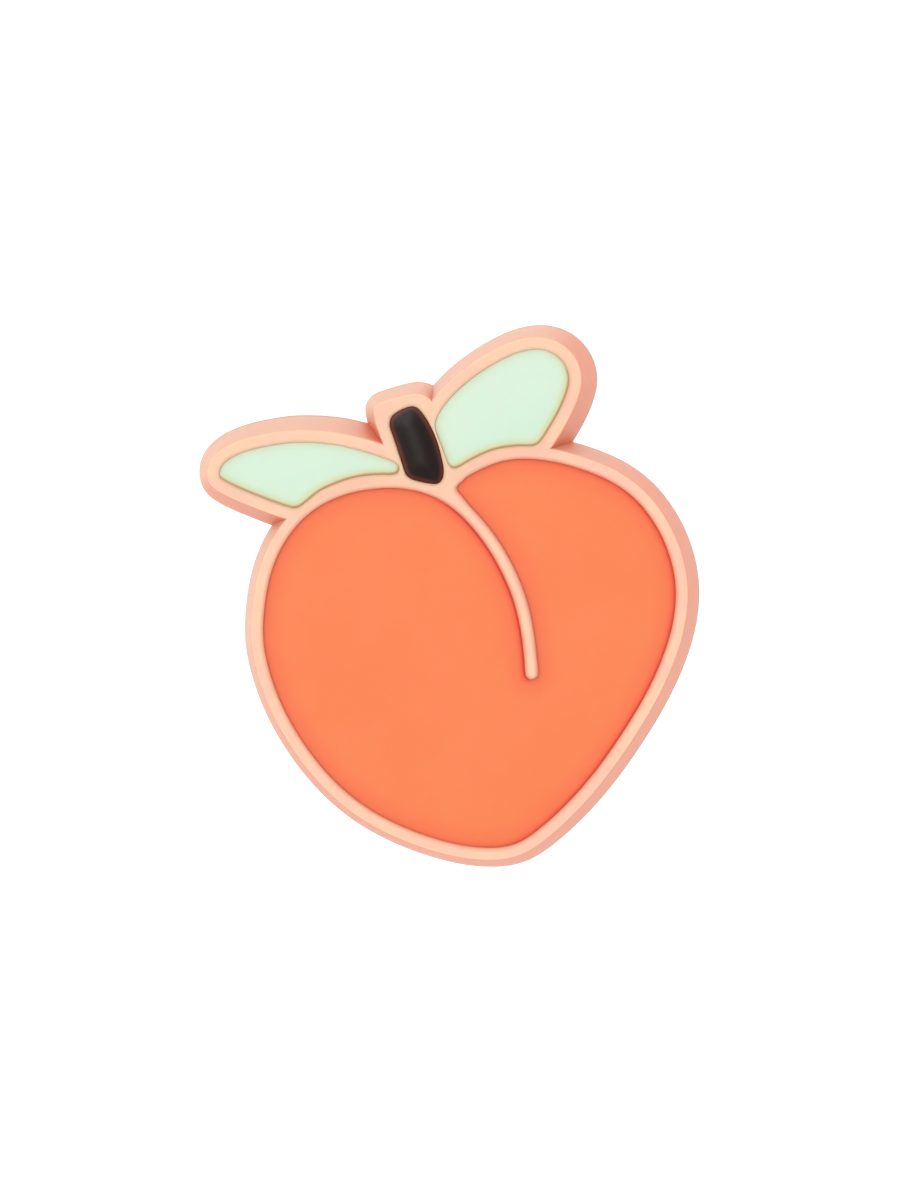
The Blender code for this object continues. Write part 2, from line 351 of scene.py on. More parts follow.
@dataclass(frozen=True)
class PouredPvc:
    """Coloured PVC poured into a pocket, darker towards the rim by painted shade, and with a seam
    along it.

    The border is a broad band of painted shade along the rim, the halo a narrow band of deeper
    painted shade within it on the shaded side, and the seam the line where the colour meets the
    rim, partly the pour's own edge colour and partly painted shade, deeper on the shaded side.
    Widths are millimetres.
    """

    name: str
    middle: Colour
    cloud: Colour
    shaded_border: Colour
    shaded_border_width: float
    shade_halo: Colour
    shade_halo_width: float
    lit_seam: Colour
    shaded_seam: Colour
    seam_width: float
    roughness: float
    gloss: float = 0.35
    drift_range: Point = (0.35, 0.7)
    seam_core: float = 0.3
    softness: Softness = Softness(weight=0.6)

    def material(self) -> bpy.types.Material:
        """Makes the material.

        Returns:
            It, from the drifting colour of the middle out to the seam.
        """
        sheet = Sheet(self.name)
        inside = sheet.reading("from_edge")
        # Painted shade of the seam: 0 on the lit side, 1 on the shaded side.
        side = sheet.reading("painted_seam_shade")
        drift = sheet.clouds(3.5, 3).ramp(*self.drift_range)
        body = sheet.mixed(drift, self.middle, self.cloud)
        # Painted shade: the colour deepens in a band along the rim.
        edged = sheet.mixed(1 - inside.ramp(0.0, self.shaded_border_width), body, self.shaded_border)
        # Painted shade: a narrow, deeper band within it on the shaded side.
        glow = (1 - inside.ramp(0.0, self.shade_halo_width)) * side
        # The seam: partly the pour's own edge colour, partly painted shade, deeper on the shaded
        # side.
        seam = sheet.mixed(side, self.lit_seam, self.shaded_seam)
        at_seam = 1 - inside.ramp(self.seam_core * self.seam_width, self.seam_width)
        grain = sheet.clouds(0.12, 2)
        dents = sheet.relief(sheet.clouds(1.6, 2), 0.004)
        return sheet.finish(
            {
                "Base Color": sheet.mixed(at_seam, sheet.mixed(glow, edged, self.shade_halo), seam),
                "Roughness": self.roughness + 0.08 * sheet.clouds(0.8, 2),
                "Normal": sheet.relief(grain, 0.002, dents),
                "Specular IOR Level": self.gloss,
                **self.softness.sockets(),
            }
        )


@dataclass(frozen=True)
class ButtonPlastic:
    """Translucent off-white plastic of the button."""

    tone: Colour = (0.78, 0.78, 0.75)
    shade: Colour = (0.70, 0.70, 0.66)
    roughness: float = 0.3
    softness: Softness = Softness(weight=0.4, scale=0.8, radius=(1.0, 0.9, 0.8))

    def material(self) -> bpy.types.Material:
        """Makes the material.

        Returns:
            It, with two tones that run into each other.
        """
        sheet = Sheet("button_plastic")
        drift = sheet.clouds(1.8, 3).ramp(0.3, 0.7)
        return sheet.finish(
            {
                "Base Color": sheet.mixed(drift, self.tone, self.shade),
                "Roughness": self.roughness + 0.12 * sheet.clouds(0.5, 3),
                "Normal": sheet.relief(sheet.clouds(0.15, 2), 0.003),
                **self.softness.sockets(),
            }
        )


@dataclass(frozen=True)
class PaperFloor:
    """White paper that the charm lies on, which glows enough to hide the shadow."""

    tone: float = 0.3
    mottle: float = 0.98
    mottle_size: float = 40.0
    glow: float = 0.92

    def material(self) -> bpy.types.Material:
        """Makes the material.

        Returns:
            It, an even white with a hardly seen mottle.
        """
        sheet = Sheet("white_paper")
        tone, darker = (self.tone,) * 3, (self.tone * self.mottle,) * 3
        return sheet.finish(
            {
                "Base Color": sheet.mixed(sheet.clouds(self.mottle_size, 2), tone, darker),
                "Roughness": 0.9,
                "Emission Color": WHITE,
                "Emission Strength": self.glow,
            }
        )


Finish = MouldedPvc | PouredPvc | ButtonPlastic


# ------------------------------------------------------------------ bench work


class Change(Enum):
    """What a tool solid does to the piece it is used on."""

    JOIN = "UNION"
    CUT = "DIFFERENCE"


def pick(piece: bpy.types.Object) -> None:
    """Makes a piece the only selected object, and the active one.

    Args:
        piece: The piece.
    """
    bpy.ops.object.select_all(action="DESELECT")
    piece.select_set(True)
    bpy.context.view_layer.objects.active = piece


def open_mesh(piece: bpy.types.Object) -> None:
    """Enters edit mode with nothing selected.

    Args:
        piece: The piece to edit.
    """
    pick(piece)
    bpy.ops.object.mode_set(mode="EDIT")
    bpy.ops.mesh.select_mode(type="FACE")
    bpy.ops.mesh.select_all(action="DESELECT")


def close_mesh() -> None:
    """Leaves edit mode."""
    bpy.ops.object.mode_set(mode="OBJECT")


def select_faces(piece: bpy.types.Object, wanted: Callable[[bmesh.types.BMFace], bool]) -> None:
    """Selects some faces and nothing else, in edit mode.

    Args:
        piece: The piece being edited.
        wanted: Says of each face whether it is to be selected.
    """
    bpy.ops.mesh.select_all(action="DESELECT")
    mesh = bmesh.from_edit_mesh(piece.data)
    for face in mesh.faces:
        if wanted(face):
            face.select = True
    mesh.select_flush_mode()
    bmesh.update_edit_mesh(piece.data)


def weld_outwards(piece: bpy.types.Object) -> None:
    """Merges doubled vertices and turns every face outwards.

    Args:
        piece: The solid.
    """
    open_mesh(piece)
    bpy.ops.mesh.select_all(action="SELECT")
    bpy.ops.mesh.remove_doubles(threshold=WELD)
    bpy.ops.mesh.normals_make_consistent(inside=False)
    close_mesh()


def apply_all(piece: bpy.types.Object) -> None:
    """Applies a piece's modifiers in order.

    Args:
        piece: The piece.
    """
    pick(piece)
    for modifier in list(piece.modifiers):
        bpy.ops.object.modifier_apply(modifier=modifier.name)


def settle_order(piece: bpy.types.Object) -> None:
    """Numbers vertices and faces by their places, because a solver may shuffle them.

    Args:
        piece: The solid.
    """
    mesh = piece.data
    corners = sorted((vertex.co[:], vertex.index) for vertex in mesh.vertices)
    rank = {index: place for place, (_, index) in enumerate(corners)}
    faces = []
    for face in mesh.polygons:
        ring = [rank[index] for index in face.vertices]
        start = ring.index(min(ring))
        faces.append(ring[start:] + ring[:start])
    mesh.clear_geometry()
    mesh.from_pydata([corner for corner, _ in corners], [], sorted(faces))


def change_with(piece: bpy.types.Object, tool: bpy.types.Object, change: Change) -> None:
    """Joins a tool to a piece or cuts it away, and removes the tool.

    Args:
        piece: The piece.
        tool: The solid that is joined or cut away.
        change: Which of the two.
    """
    modifier = piece.modifiers.new(tool.name, "BOOLEAN")
    modifier.operation = change.value
    modifier.solver = "MANIFOLD"
    modifier.object = tool
    apply_all(piece)
    settle_order(piece)
    bpy.data.objects.remove(tool)


def is_level(face: bmesh.types.BMFace) -> bool:
    """Whether a face lies level, either way up."""
    return abs(face.normal.z) > LEVEL


def settle_shading(piece: bpy.types.Object, angle: float, flats_lead: bool = False) -> None:
    """Smooth shading that keeps flats flat and breaks at sharp edges.

    Args:
        piece: The piece.
        angle: Edges sharper than this break the shading, in degrees.
        flats_lead: Whether level faces alone set the shading along their edges.
    """
    pick(piece)
    bpy.ops.object.shade_smooth_by_angle(angle=math.radians(angle))
    if flats_lead:
        open_mesh(piece)
        select_faces(piece, is_level)
        bpy.ops.mesh.mod_weighted_strength(set=True, face_strength="STRONG")
        close_mesh()
    weighted = piece.modifiers.new("flat_faces", "WEIGHTED_NORMAL")
    weighted.keep_sharp = True
    weighted.weight = 90
    weighted.use_face_influence = flats_lead
    apply_all(piece)


def rounded(corners: Sequence[Corner], steps: int = 6) -> list[Point]:
    """Line through corners, with an arc in place of each corner that has a radius.

    Args:
        corners: Across, height and radius of each corner in order.
        steps: Straight stretches in each arc.

    Returns:
        Across and height of each point of the line.
    """
    line = [corners[0][:2]]
    for before, corner, after in zip(corners, corners[1:], corners[2:]):
        here = Vector(corner[:2])
        if not corner[2]:
            line.append(corner[:2])
            continue
        back = (Vector(before[:2]) - here).normalized()
        onward = (Vector(after[:2]) - here).normalized()
        half = back.angle(onward) / 2
        centre = here + (back + onward).normalized() * corner[2] / math.sin(half)
        start = here + back * corner[2] / math.tan(half) - centre
        end = here + onward * corner[2] / math.tan(half) - centre
        turn = math.pi - 2 * half
        for step in range(steps + 1):
            share = step / steps
            spoke = start * math.sin((1 - share) * turn) + end * math.sin(share * turn)
            line.append(tuple(centre + spoke / math.sin(turn)))
    return line + [corners[-1][:2]]


def is_floor(face: bmesh.types.BMFace) -> bool:
    """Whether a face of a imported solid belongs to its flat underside."""
    return face.normal.z < -NEARLY_LEVEL


def arcs(points: Sequence[Vector], ways: Sequence[Vector]) -> list[Vector]:
    """A closed line of arcs.

    Args:
        points: Where the arcs meet.
        ways: The direction of travel at each of them.

    Returns:
        The line's points, no further apart than LONGEST and turning no more than SHARPEST.
    """
    line = []
    for index, start in enumerate(points):
        end = points[(index + 1) % len(points)]
        out, into = ways[index], ways[(index + 1) % len(ways)]
        turn = out.angle(into)
        handle = (end - start).length / (3 * math.cos(turn / 4) ** 2)
        knots = (start, start + out * handle, end - into * handle, end)
        by_length = math.ceil((end - start).length / LONGEST)
        steps = max(1, by_length, math.ceil(math.degrees(turn) / SHARPEST))
        line += [point.xy for point in geometry.interpolate_bezier(*knots, steps + 1)[:-1]]
    return line


class Outline:
    """A smooth closed line in plan, anticlockwise, in millimetres."""

    # Looking outwards, a point counts when it is further than TOUCHING and when the cosine of
    # its angle from straight out is above AHEAD.
    TOUCHING = 0.01
    AHEAD = 0.8

    def __init__(self, points: Sequence[Vector]) -> None:
        """Keeps the points, turned anticlockwise."""
        area = sum(a.cross(b) for a, b in zip(points, [*points[1:], points[0]]))
        self.points = list(points) if area > 0 else list(reversed(points))

    @classmethod
    def under(cls, node: str) -> "Outline":
        """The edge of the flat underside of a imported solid.

        Args:
            node: The solid's name.

        Returns:
            Its outline.
        """
        solid = bmesh.new()
        solid.from_mesh(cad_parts[node].data)
        bmesh.ops.remove_doubles(solid, verts=solid.verts, dist=CLOSE)
        rim = {}
        for face in solid.faces:
            for loop in face.loops:
                if is_floor(face) and not all(is_floor(f) for f in loop.edge.link_faces):
                    rim[loop.vert] = loop.link_loop_next.vert
        start = here = min(rim, key=lambda corner: corner.co.x)
        points = []
        while not points or here is not start:
            points.append(here.co.xy / MM)
            here = rim[here]
        solid.free()
        return cls(points).refined()

    @classmethod
    def through(cls, knots: Sequence[Knot]) -> "Outline":
        """A line of arcs through knots.

        Args:
            knots: The place of each, and its heading in degrees.

        Returns:
            The outline.
        """
        points = [Vector(knot[:2]) for knot in knots]
        headings = [math.radians(knot[2]) for knot in knots]
        ways = [Vector((math.cos(heading), math.sin(heading))) for heading in headings]
        return cls(arcs(points, ways))

    def along(self) -> list[Vector]:
        """The direction of travel at each point.

        Returns:
            One unit vector for each point.
        """
        found = []
        count = len(self.points)
        for index, here in enumerate(self.points):
            back = here - self.points[index - 1]
            onward = self.points[(index + 1) % count] - here
            way = back.normalized() * onward.length + onward.normalized() * back.length
            found.append(way.normalized())
        return found

    def normals(self) -> list[Vector]:
        """The outward direction at each point."""
        return [Vector((way.y, -way.x)) for way in self.along()]

    def refined(self) -> "Outline":
        """The outline with more points, on a smooth curve through the ones it has."""
        return Outline(arcs(self.points, self.along()))

    def grown(self, distance: float) -> "Outline":
        """The outline moved outwards by a distance."""
        return Outline([p + n * distance for p, n in zip(self.points, self.normals())])

    def hull(self) -> "Outline":
        """The outline with its hollows bridged."""
        order = geometry.convex_hull_2d(self.points)
        return Outline([self.points[index] for index in order])

    def across(self, others: Iterable[Vector], limit: float) -> list[float]:
        """Distance straight outwards from each point to the nearest of other points.

        Args:
            others: The points to look for.
            limit: The furthest that is looked at.

        Returns:
            One distance for each point, or the limit where nothing is nearer.
        """
        others = list(others)
        found = []
        for here, outward in zip(self.points, self.normals()):
            nearest = limit
            for way in (other - here for other in others):
                ahead = way.dot(outward) > self.AHEAD * way.length
                if ahead and self.TOUCHING < way.length < nearest:
                    nearest = way.length
            found.append(nearest)
        return found

    def curve(self, radii: Sequence[float] | None = None) -> bpy.types.Object:
        """Draws the outline as a flat curve.

        Args:
            radii: How much a section is enlarged at each point.

        Returns:
            The curve.
        """
        data = bpy.data.curves.new("outline", "CURVE")
        data.dimensions = "2D"
        data.fill_mode = "BOTH"
        spline = data.splines.new("POLY")
        spline.points.add(len(self.points) - 1)
        spline.use_cyclic_u = True
        for index, (knot, here) in enumerate(zip(spline.points, self.points)):
            knot.co = (here.x * MM, here.y * MM, 0.0, 1.0)
            knot.radius = radii[index] if radii else 1.0
        drawn = bpy.data.objects.new("outline", data)
        bpy.context.scene.collection.objects.link(drawn)
        return drawn

    def swept(
        self,
        name: str,
        section: Sequence[Point],
        level: float = 0.0,
        radii: Sequence[float] | None = None,
    ) -> bpy.types.Object:
        """Carries a section round the outline into a closed solid.

        Args:
            name: The solid's name.
            section: Outset and height of each point, from the top cap to the bottom one.
            level: Height that the section's heights count from.
            radii: How much the section is enlarged at each point of the outline.

        Returns:
            The solid.
        """
        data = bpy.data.curves.new("section", "CURVE")
        data.dimensions = "2D"
        spline = data.splines.new("POLY")
        spline.points.add(len(section) - 1)
        for point, (outset, height) in zip(spline.points, section):
            point.co = (-outset * MM, height * MM, 0.0, 1.0)
        profile = bpy.data.objects.new("section", data)
        bpy.context.scene.collection.objects.link(profile)
        solid = self.curve(radii)
        solid.data.bevel_mode = "OBJECT"
        solid.data.bevel_object = profile
        solid.location.z = level * MM
        pick(solid)
        bpy.ops.object.convert(target="MESH")
        bpy.ops.object.transform_apply(location=True, rotation=False, scale=False)
        bpy.data.objects.remove(profile)
        solid.name = solid.data.name = name
        weld_outwards(solid)
        return solid


def nearest_on(outline: Outline) -> Callable[[Vector], tuple[float, int]]:
    """Measures from a closed line.

    Args:
        outline: The line.

    Returns:
        A function from a place in plan to its distance from the line and the nearest point's
        number.
    """
    ring = outline.points
    tree = kdtree.KDTree(len(ring))
    for index, point in enumerate(ring):
        tree.insert(point.to_3d(), index)
    tree.balance()

    def measure(place: Vector) -> tuple[float, int]:
        """Distance of one place from the line, and the nearest point's number.

        Args:
            place: The place in plan.

        Returns:
            The two of them.
        """
        _, nearest, _ = tree.find(place.to_3d())
        best = math.inf
        for start in (nearest - 1, nearest):
            ends = ring[start], ring[(start + 1) % len(ring)]
            foot, share = geometry.intersect_point_line(place, *ends)
            if share <= 0.0 or share >= 1.0:
                foot = ends[0] if share <= 0.0 else ends[1]
            best = min(best, (foot.xy - place).length)
        return best, nearest

    return measure


def note(piece: bpy.types.Object, name: str, values: Sequence[float]) -> None:
    """Stores one number for each vertex of a piece."""
    piece.data.attributes.new(name, "FLOAT", "POINT").data.foreach_set("value", values)


# Feeds the painted shade in the plate's hollows.
def occlusion(
    piece: bpy.types.Object, reach: float, rays: int = 40, lift: float = 0.01
) -> list[float]:
    """How closed in each vertex is by the piece's own walls.

    Args:
        piece: The piece.
        reach: How far away a wall still counts, in millimetres.
        rays: Directions that are looked in.
        lift: How far off the surface the looking starts, in millimetres.

    Returns:
        For each vertex 0 in the open, up to 1 deep in a corner.
    """
    solid = bmesh.new()
    solid.from_mesh(piece.data)
    tree = BVHTree.FromBMesh(solid)
    solid.free()
    spokes = []
    for step in range(rays):
        height = math.sqrt(1 - (step + 0.5) / rays)
        angle = step * math.pi * (3 - math.sqrt(5))
        flat = math.sqrt(1 - height * height)
        spokes.append(Vector((flat * math.cos(angle), flat * math.sin(angle), height)))
    found = []
    for vertex in piece.data.vertices:
        turn = vertex.normal.to_track_quat("Z", "X")
        start = vertex.co + vertex.normal * lift * MM
        closed = 0.0
        for spoke in spokes:
            far = tree.ray_cast(start, turn @ spoke, reach * MM)[3]
            if far is not None:
                closed += 1 - far / (reach * MM)
        found.append(closed / rays)
    return found


def enrol(piece: bpy.types.Object, slot: str, node: str, finish: Finish) -> None:
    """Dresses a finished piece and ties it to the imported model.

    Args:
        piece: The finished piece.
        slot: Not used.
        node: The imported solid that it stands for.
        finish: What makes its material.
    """
    piece.data.materials.clear()
    piece.data.materials.append(finish.material())
    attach(piece, BODY)
    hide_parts(node)
    log.info("%s: %d faces, for %s", piece.name, len(piece.data.polygons), node)


# -------------------------------------------------------------- sub-assemblies


# Outer edge of the rim round the stem, which isn't an even band round its pour.
STEM_RIM = (
    (-2.25, 10.4, 267),
    (-2.12, 9.1, 277),
    (-1.85, 7.4, 279),
    (-1.2, 6.2, 315),
    (0.3, 5.8, 0),
    (1.15, 6.8, 88),
    (1.1, 9.6, 98),
    (0.85, 10.55, 122),
    (0.15, 11.07, 167),
    (-0.9, 11.08, 183),
    (-1.75, 11.0, 186),
    (-2.2, 10.75, 245),
)


@dataclass(frozen=True)
class Block:
    """One block of the plate: its pour, rim, the spread of its wall and the lean of its foot.

    A block with knots is measured from the line through them, and the others from their pour's
    outline, with the hollows of it bridged or not.
    """

    node: str
    rim: float
    spread: float
    lean: Point = (0.0, 0.0)
    bridged: bool = False
    knots: Sequence[Knot] = ()

    def outline(self, outlines: dict[str, Outline]) -> Outline:
        """The line that the rim is measured from.

        Args:
            outlines: Every pour's outline.

        Returns:
            That line.
        """
        if self.knots:
            return Outline.through(self.knots)
        return outlines[self.node].hull() if self.bridged else outlines[self.node]


@dataclass
class Plate:
    """The moulding: drafted wall, raised rim, crease ridge, pockets and back.

    The lip is the round inner edge of the rim.  It is rounder along the crease ridge, whose
    sides lie within ridge_width of each other, and finer where the rim between two pours is
    thin, by web_share.  The flare widens the mouth of the button's socket.  Skin is how near a
    vertex or face has to be to count as part of the top or the back.
    """

    blocks: Sequence[Block] = (
        Block("peach_fill", 0.8, 0.55, bridged=True),
        Block("left_leaf_fill", 0.8, 0.75, lean=(0.1, 0.0)),
        Block("right_leaf_fill", 0.8, 0.65, lean=(0.1, -0.03)),
        Block("stem_fill", 0.0, 0.6, knots=STEM_RIM),
    )
    orange_node: str = "peach_fill"
    fill_gap: float = 0.15
    shoulder: float = 0.14
    back_round: float = 0.14
    top_inset: float = 0.35
    back_inset: float = 0.5
    wall_rows: int = 8
    pocket_depth: float = 1.2
    overrun: float = 0.3
    lip: float = 0.18
    lip_steps: int = 6
    ridge_lip: float = 0.26
    ridge_width: float = 1.1
    ridge_run_out: float = 1.2
    web_share: float = 0.38
    flange_gap: float = 0.2
    neck_radius: float = 3.7
    flange_radius: float = 5.2
    flange_base: float = 0.75
    flange_height: float = 0.7
    flare: Sequence[Point] = ((0.12, 0.0), (0.04, 0.05), (0.0, 0.14))
    skin: float = 0.01
    flat_turn: float = 0.2
    sharp_turn: float = 30.0
    # How far walls count towards the painted shade in the hollows, in millimetres.
    occlusion_reach: float = 2.0

    def __post_init__(self) -> None:
        """Reads the plate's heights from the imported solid."""
        low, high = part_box("rim_plate")
        self.back = low.z / MM
        self.face = high.z / MM

    def wall_section(self, block: Block) -> list[Point]:
        """Section of one block's outer wall.

        Args:
            block: Which block.

        Returns:
            Outset and height of each point, from the flat top down to the flat back.
        """
        height = self.face - self.back
        foot = block.rim + block.spread
        wall = [
            (
                block.rim + block.spread * row / self.wall_rows,
                self.face - height * row / self.wall_rows,
                0.0,
            )
            for row in range(1, self.wall_rows)
        ]
        return rounded(
            [
                (block.rim - self.top_inset, self.face, 0.0),
                (block.rim, self.face, self.shoulder),
                *wall,
                (foot, self.back, self.back_round),
                (foot - self.back_inset, self.back, 0.0),
            ]
        )

    def blank(self, block: Block, outlines: dict[str, Outline]) -> bpy.types.Object:
        """One block, with its foot leaning as the moulding's does.

        Args:
            block: Which block.
            outlines: Every pour's outline.

        Returns:
            The block's solid.
        """
        outline = block.outline(outlines)
        solid = outline.swept(f"{block.node}_blank", self.wall_section(block))
        for vertex in solid.data.vertices:
            share = (self.face - vertex.co.z / MM) / (self.face - self.back)
            vertex.co.xy += Vector(block.lean) * MM * min(1.0, max(0.0, share))
        return solid

    def lips(self, node: str, outlines: dict[str, Outline]) -> list[float]:
        """How round the rim's inner edge is at each point of one pour.

        Args:
            node: The pour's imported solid.
            outlines: Every pour's outline.

        Returns:
            The radii, rounder along the crease ridge and finer where the rim is thin.
        """
        own = outlines[node]
        others = [p for name, line in outlines.items() if name != node for p in line.points]
        found = []
        limit = self.ridge_width + self.ridge_run_out
        for ridge, web in zip(own.across(own.points, limit), own.across(others, limit)):
            share = min(1.0, (limit - ridge) / self.ridge_run_out)
            radius = self.lip + (self.ridge_lip - self.lip) * share
            found.append(min(radius, self.web_share * (web - 2 * self.fill_gap)))
        return found

    def pocket(self, node: str, outlines: dict[str, Outline]) -> bpy.types.Object:
        """The tool that cuts one pocket and rounds the rim's inner edge.

        Args:
            node: The pour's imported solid.
            outlines: Every pour's outline.

        Returns:
            The tool.
        """
        turns = [step * math.pi / (2 * self.lip_steps) for step in range(self.lip_steps + 1)]
        arc = [(1.0 - math.sin(turn), math.cos(turn) - 1.0) for turn in turns]
        # The sweep enlarges the section by each lip's radius, so its ends only have to lie well
        # above and below the lip.  They are then brought to one height all round.
        section = [(1.0, 3.0), *arc, (0.0, -20.0)]
        edge = outlines[node].grown(self.fill_gap)
        tool = edge.swept(f"{node}_pocket", section, self.face, self.lips(node, outlines))
        below_lips = self.face - 1.1 * self.ridge_lip
        for vertex in tool.data.vertices:
            height = vertex.co.z / MM
            if height > self.face + self.skin:
                vertex.co.z = (self.face + self.overrun) * MM
            elif height < below_lips:
                vertex.co.z = (self.face - self.pocket_depth) * MM
        return tool

    def socket(self) -> bpy.types.Object:
        """The tool that makes room for the button's flange and neck.

        Returns:
            The tool, turned from its mouth up.
        """
        base = self.back + self.flange_base - self.flange_gap
        top = self.back + self.flange_base + self.flange_height + self.flange_gap
        neck, flange = self.neck_radius + self.flange_gap, self.flange_radius + self.flange_gap
        rings = [
            (neck + self.flare[0][0], self.back - self.overrun),
            *((neck + wider, self.back + height) for wider, height in self.flare),
            (neck, base),
            (flange, base),
            (flange, top),
        ]
        return turned("socket", rings)

    def is_folded(self, face: bmesh.types.BMFace) -> bool:
        """Whether a face is a crumb that a cut left upside down on the top or the back.

        Args:
            face: The face.

        Returns:
            Whether it is one.
        """
        height = face.calc_center_median().z / MM
        if face.normal.z < -LEVEL:
            return height > self.face - self.skin
        return face.normal.z > LEVEL and height < self.back + self.skin

    def note_places(
        self,
        plate: bpy.types.Object,
        outlines: dict[str, Outline],
        seam_shading: dict[str, Sequence[float]],
    ) -> None:
        """Notes at each vertex what the plate's material has to know of its place.

        Args:
            plate: The cut moulding.
            outlines: Every pour's outline.
            seam_shading: How strong the painted seam shade is at each point of each outline.
        """
        edges = {node: nearest_on(line.grown(self.fill_gap)) for node, line in outlines.items()}
        floor = self.face - self.pocket_depth
        above_back, from_pour, painted_seam_shade, beside_orange = [], [], [], []
        for vertex in plate.data.vertices:
            height = vertex.co.z / MM
            found = {node: measure(vertex.co.xy / MM) for node, measure in edges.items()}
            node = min(found, key=lambda name: found[name][0])
            distance, nearest = found[node]
            above_back.append(height - self.back)
            from_pour.append(distance + max(0.0, floor - height))
            painted_seam_shade.append(seam_shading[node][nearest])
            beside_orange.append(float(node == self.orange_node))
        note(plate, "occlusion", occlusion(plate, self.occlusion_reach))
        note(plate, "above_back", above_back)
        note(plate, "from_pour", from_pour)
        note(plate, "painted_seam_shade", painted_seam_shade)
        note(plate, "beside_orange", beside_orange)

    def build(
        self, outlines: dict[str, Outline], seam_shading: dict[str, Sequence[float]]
    ) -> bpy.types.Object:
        """Makes the plate.

        Args:
            outlines: Every pour's outline.
            seam_shading: How strong the painted seam shade is at each point of each outline.

        Returns:
            The finished piece.
        """
        plate = self.blank(self.blocks[0], outlines)
        plate.name = plate.data.name = "plate_moulding"
        for block in self.blocks[1:]:
            change_with(plate, self.blank(block, outlines), Change.JOIN)
        for node in outlines:
            change_with(plate, self.pocket(node, outlines), Change.CUT)
        change_with(plate, self.socket(), Change.CUT)
        open_mesh(plate)
        select_faces(plate, self.is_folded)
        bpy.ops.mesh.merge(type="COLLAPSE")
        select_faces(plate, is_level)
        bpy.ops.mesh.dissolve_limited(angle_limit=math.radians(self.flat_turn))
        close_mesh()
        settle_shading(plate, self.sharp_turn, flats_lead=True)
        self.note_places(plate, outlines, seam_shading)
        enrol(plate, "pink_pvc", "rim_plate", MouldedPvc())
        return plate


def turned(name: str, rings: Sequence[Point], steps: int = 128) -> bpy.types.Object:
    """A round solid raised ring by ring from a flat disc.

    Args:
        name: The solid's name.
        rings: Radius and height of each ring, from the first face to the last.
        steps: Corners in each ring.

    Returns:
        The solid, closed flat at both ends.
    """
    radius, height = rings[0]
    bpy.ops.object.select_all(action="DESELECT")
    bpy.ops.mesh.primitive_circle_add(
        vertices=steps, radius=radius * MM, fill_type="NGON", location=(0.0, 0.0, height * MM)
    )
    solid = bpy.context.object
    bpy.ops.object.transform_apply(location=True, rotation=False, scale=False)
    solid.name = solid.data.name = name
    open_mesh(solid)
    bpy.ops.mesh.select_all(action="SELECT")
    for (before, low), (after, high) in zip(rings, rings[1:]):
        bpy.ops.mesh.extrude_region_move(
            TRANSFORM_OT_translate={"value": (0.0, 0.0, (high - low) * MM)}
        )
        scale = after / before
        bpy.ops.transform.resize(value=(scale, scale, 1.0), center_override=(0.0, 0.0, high * MM))
    close_mesh()
    weld_outwards(solid)
    settle_order(solid)
    return solid


